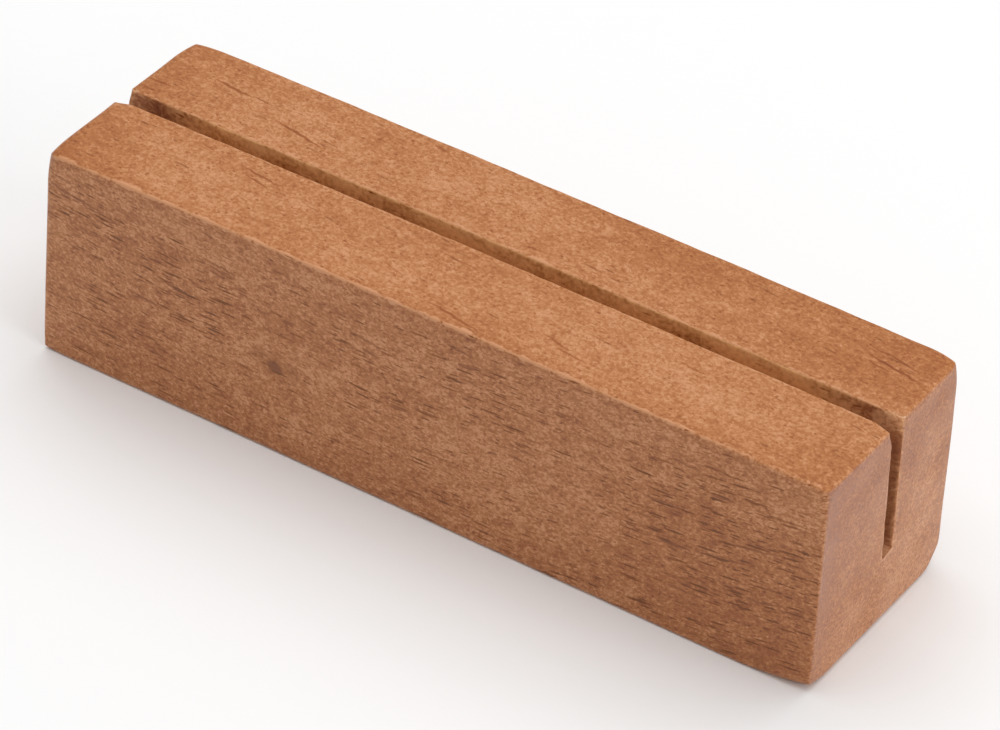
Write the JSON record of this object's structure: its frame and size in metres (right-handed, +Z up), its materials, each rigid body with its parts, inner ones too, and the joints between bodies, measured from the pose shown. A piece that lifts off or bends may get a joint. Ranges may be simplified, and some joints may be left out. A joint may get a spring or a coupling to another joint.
{
  "type": "pick holder",
  "caption": "Small hardwood block with a saw kerf along its top that holds picks upright, free-standing on its flat underside.",
  "frame": {"origin": "middle of the underside", "axes": "+X along the block and its kerf, +Y across it, +Z up out of the kerf's mouth"},
  "size_m": [0.0898, 0.025, 0.0245],
  "materials": {
    "wood": "hand-sanded bare reddish-brown hardwood with short dark pores along the grain, matt"
  },
  "bodies": {
    "root": {"block": "wood"}
  },
  "joints": []
}
